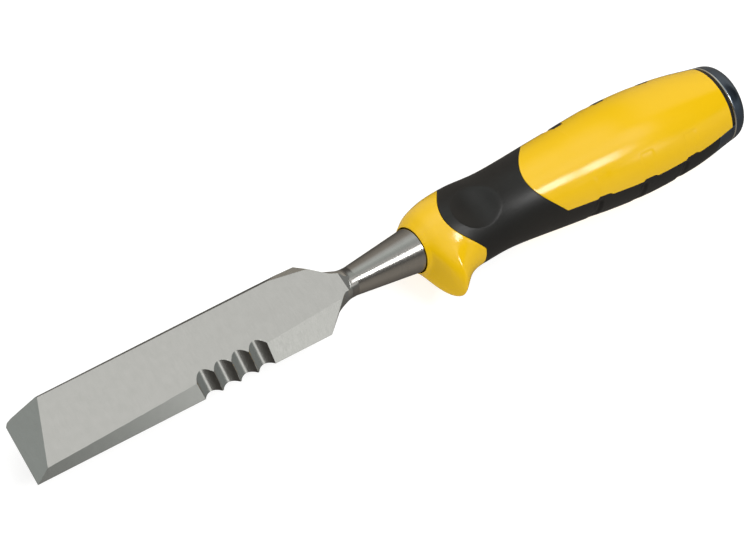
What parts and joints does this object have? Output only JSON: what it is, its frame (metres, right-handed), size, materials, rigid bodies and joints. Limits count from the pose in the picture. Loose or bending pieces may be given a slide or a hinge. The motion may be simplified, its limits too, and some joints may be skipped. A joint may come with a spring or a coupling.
{
  "type": "bench chisel",
  "caption": "Heavy bench chisel with a wedge-section blade, scalloped side edge, conical bolster, two-material grip with finger guard and steel strike cap.",
  "frame": {"origin": "bottom centre of the bounding box: middle of the length and width, level with the lowest point of the handle", "axes": "+X along the tool from the cutting edge to the strike cap, +Y across the blade from the sharp scalloped side to the thick spine, +Z out of the ground face, square to the flat back"},
  "size_m": [0.2932, 0.0368, 0.0324],
  "materials": {
    "blade_steel": "satin ground",
    "yellow_plastic": "gloss",
    "black_rubber": "satin",
    "black_oxide_steel": "black oxide"
  },
  "bodies": {
    "root": {"blade": "blade_steel", "handle_core": "yellow_plastic", "grip_sleeve": "black_rubber", "strike_cap": "black_oxide_steel"}
  },
  "joints": []
}
